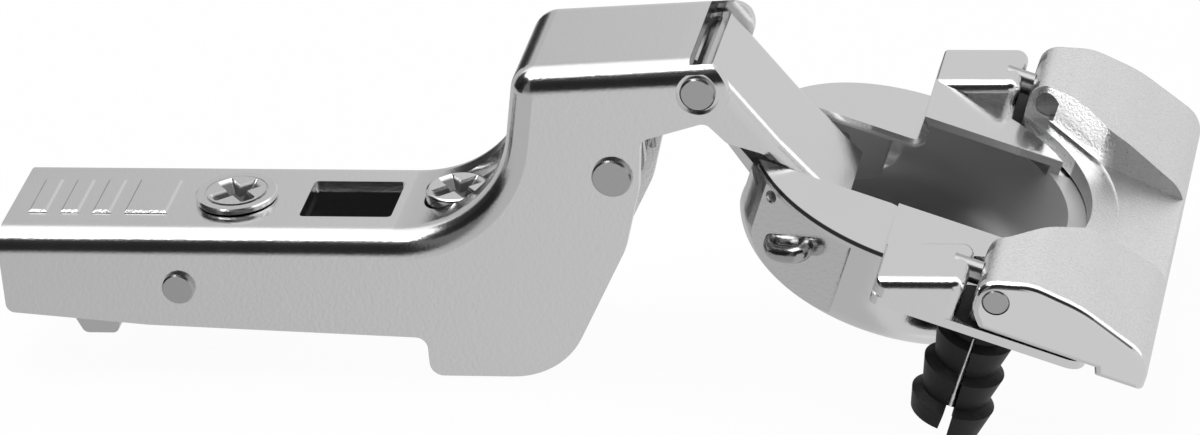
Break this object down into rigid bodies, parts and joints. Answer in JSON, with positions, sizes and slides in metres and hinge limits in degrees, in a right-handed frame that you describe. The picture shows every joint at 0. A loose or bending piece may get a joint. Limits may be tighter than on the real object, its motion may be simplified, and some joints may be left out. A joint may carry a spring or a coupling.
{
  "type": "concealed cup hinge",
  "caption": "Concealed cabinet hinge with cranked arm, two folded links, a 35 mm drawn cup with barbed dowels and a cast cover lever, shown fully open.",
  "frame": {"origin": "centre of the carrier rail's seat, the underside of its web, between its two screws", "axes": "+X along the arm from the release catch to the cup, +Y along the pivot pins away from the viewer, +Z out of the mounting plate, through the arm's top"},
  "size_m": [0.1278, 0.0552, 0.0373],
  "materials": {
    "plated_sheet": "bright nickel plated",
    "carrier_steel": "zinc plated",
    "link_steel": "plated",
    "pin_steel": "bright plated",
    "screw_steel": "bright plated",
    "spring_steel": "wire",
    "satin_casting": "fine satin, plated casting",
    "black_plastic": "moulded, matt"
  },
  "bodies": {
    "carrier": {"carrier_rail": "carrier_steel"},
    "arm": {"hinge_arm": "plated_sheet", "knuckle_pin": "pin_steel", "link_pin": "pin_steel", "catch_pin": "pin_steel", "closing_spring": "spring_steel", "catch_spring": "spring_steel"},
    "depth_drive": {"depth_screw": "screw_steel"},
    "side_drive": {"side_screw": "screw_steel"},
    "catch": {"release_catch": "carrier_steel"},
    "outer": {"outer_link": "plated_sheet"},
    "inner": {"inner_link": "link_steel"},
    "cup_body": {"cup": "plated_sheet", "cup_staple": "pin_steel", "cup_stub": "pin_steel", "dowel_bracket_near": "carrier_steel", "dowel_bracket_far": "carrier_steel", "lever_rivet_near": "pin_steel", "lever_rivet_far": "pin_steel", "dowel_near": "black_plastic", "dowel_far": "black_plastic", "draw_rod_near": "pin_steel", "draw_rod_far": "pin_steel"},
    "lever": {"cover_lever": "satin_casting"},
    "spreader_a": {"spreader_near": "screw_steel"},
    "spreader_b": {"spreader_far": "screw_steel"}
  },
  "joints": [
    {"name": "depth_slide", "type": "slide", "parent": "carrier", "child": "arm", "axis": [1, 0, 0], "range_m": [-0.002, 0.002]},
    {"name": "depth_turn", "type": "hinge", "parent": "arm", "child": "depth_drive", "pos_m": [-0.0063, 0, 0.00254], "axis": [0, 0, 1], "range_deg": [-92, 92]},
    {"name": "side_turn", "type": "hinge", "parent": "arm", "child": "side_drive", "pos_m": [0.0184, 0, 0.00282], "axis": [0, 0, 1], "range_deg": [-180, 180]},
    {"name": "catch_turn", "type": "hinge", "parent": "arm", "child": "catch", "pos_m": [-0.0114, 0, -0.00378], "axis": [0, 1, 0], "range_deg": [0, 8], "stiffness_Nm_per_rad": 0.05, "springref_deg": -5.73},
    {"name": "cup_turn", "type": "hinge", "parent": "outer", "child": "cup_body", "pos_m": [0.05847, 0, 0.00404], "axis": [0, -1, 0], "range_deg": [0, 142.5]},
    {"name": "outer_turn", "type": "hinge", "parent": "arm", "child": "outer", "pos_m": [0.04746, 0, 0.01974], "axis": [0, 1, 0], "range_deg": [0, 32.3]},
    {"name": "inner_turn", "type": "hinge", "parent": "arm", "child": "inner", "pos_m": [0.03758, 0, 0.01008], "axis": [0, 1, 0], "range_deg": [0, 24.7]},
    {"name": "lever_turn", "type": "hinge", "parent": "cup_body", "child": "lever", "pos_m": [0.08048, 0, 0.00557], "axis": [0, -1, 0], "range_deg": [0, 50]},
    {"name": "spread_a", "type": "slide", "parent": "cup_body", "child": "spreader_a", "axis": [-0.3486, 0, -0.9373], "range_m": [0, 0.0016]},
    {"name": "spread_b", "type": "slide", "parent": "cup_body", "child": "spreader_b", "axis": [-0.3486, 0, -0.9373], "range_m": [0, 0.0016]}
  ],
  "couplings": [
    {"joint": "depth_turn", "follows": "depth_slide", "rad_per_m": 798.49},
    {"joint": "outer_turn", "follows": "cup_turn", "ratio": 0.22559},
    {"joint": "inner_turn", "follows": "cup_turn", "ratio": 0.17256},
    {"joint": "spread_a", "follows": "lever_turn", "m_per_rad": 0.0017189},
    {"joint": "spread_b", "follows": "lever_turn", "m_per_rad": 0.0017189}
  ]
}
